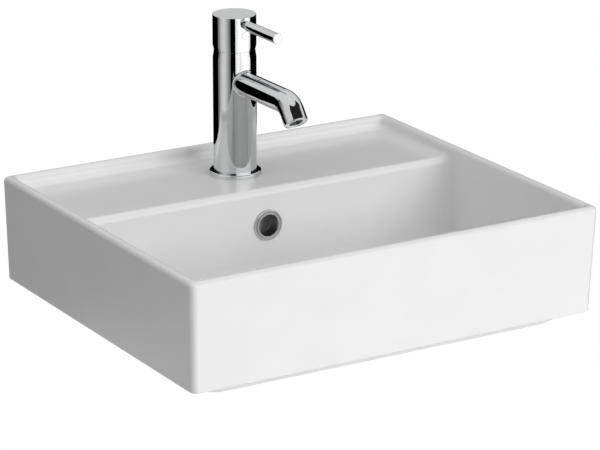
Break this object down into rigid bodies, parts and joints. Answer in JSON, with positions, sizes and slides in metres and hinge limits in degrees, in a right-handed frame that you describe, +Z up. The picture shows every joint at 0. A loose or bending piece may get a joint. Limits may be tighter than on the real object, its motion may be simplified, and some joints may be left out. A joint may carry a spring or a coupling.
{
  "type": "wall basin with mixer tap",
  "caption": "Rectangular ceramic wall basin with thin straight walls, a sunk rear tap ledge, a single-lever mixer tap, an overflow ring and a push-to-open waste.",
  "frame": {"origin": "midway between the two wall fixing holes, on the back face that lies against the wall", "axes": "+X to the right of someone facing the basin, +Y into the wall, +Z up; the front of the bowl is -Y"},
  "size_m": [0.4498, 0.3877, 0.3271],
  "materials": {
    "white_glaze": "gloss glaze",
    "polished_chrome": "polished chrome plate on brass",
    "brass": "machined",
    "steel": "zinc plated or stainless",
    "black_rubber": "moulded",
    "white_plastic": "injection moulded",
    "grey_plastic": "injection moulded",
    "alumina": "lapped"
  },
  "bodies": {
    "basin": {"basin_ceramic": "white_glaze", "overflow_trim": "polished_chrome", "tap_base_ring": "polished_chrome", "tap_body": "polished_chrome", "spout": "polished_chrome", "aerator_housing": "polished_chrome", "aerator_insert": "grey_plastic", "tap_base_gasket": "black_rubber", "aerator_washer": "black_rubber", "cartridge_base": "white_plastic", "cartridge_seals": "black_rubber", "cartridge_housing": "white_plastic", "cartridge_fixed_disc": "alumina", "cartridge_nut": "brass", "fixing_stud": "steel", "horseshoe_gasket": "black_rubber", "horseshoe_washer": "steel", "stud_nut": "brass", "waste_body": "polished_chrome", "waste_flange_seal": "black_rubber", "waste_lower_gasket": "black_rubber", "waste_slip_washer": "white_plastic", "waste_back_nut": "brass", "click_housing": "brass", "click_spring": "steel"},
    "mixer_rotor": {"cartridge_rotor": "white_plastic", "cartridge_pivot_pin": "steel"},
    "handle": {"cartridge_stem": "brass", "handle_cap": "polished_chrome", "lever_pin": "polished_chrome", "handle_set_screw": "steel", "index_button": "polished_chrome"},
    "mixing_disc": {"cartridge_moving_disc": "alumina", "cartridge_slider": "white_plastic"},
    "plug": {"plug_cap": "polished_chrome", "plug_seal": "black_rubber", "plug_stem": "brass"}
  },
  "joints": [
    {"name": "mix_turn", "type": "hinge", "parent": "basin", "child": "mixer_rotor", "pos_m": [0, -0.0735, 0.1635], "axis": [0, 0, 1], "range_deg": [-45, 45]},
    {"name": "flow_lift", "type": "hinge", "parent": "mixer_rotor", "child": "handle", "pos_m": [0, -0.0735, 0.1635], "axis": [-1, 0, 0], "range_deg": [0, 22]},
    {"name": "disc_slide", "type": "slide", "parent": "mixer_rotor", "child": "mixing_disc", "axis": [0, -1, 0], "range_m": [0, 0.0032]},
    {"name": "plug_lift", "type": "slide", "parent": "basin", "child": "plug", "axis": [0, 0, 1], "range_m": [0, 0.008], "deforming": ["click_spring"]}
  ],
  "couplings": [
    {"joint": "disc_slide", "follows": "flow_lift", "m_per_rad": 0.008}
  ]
}
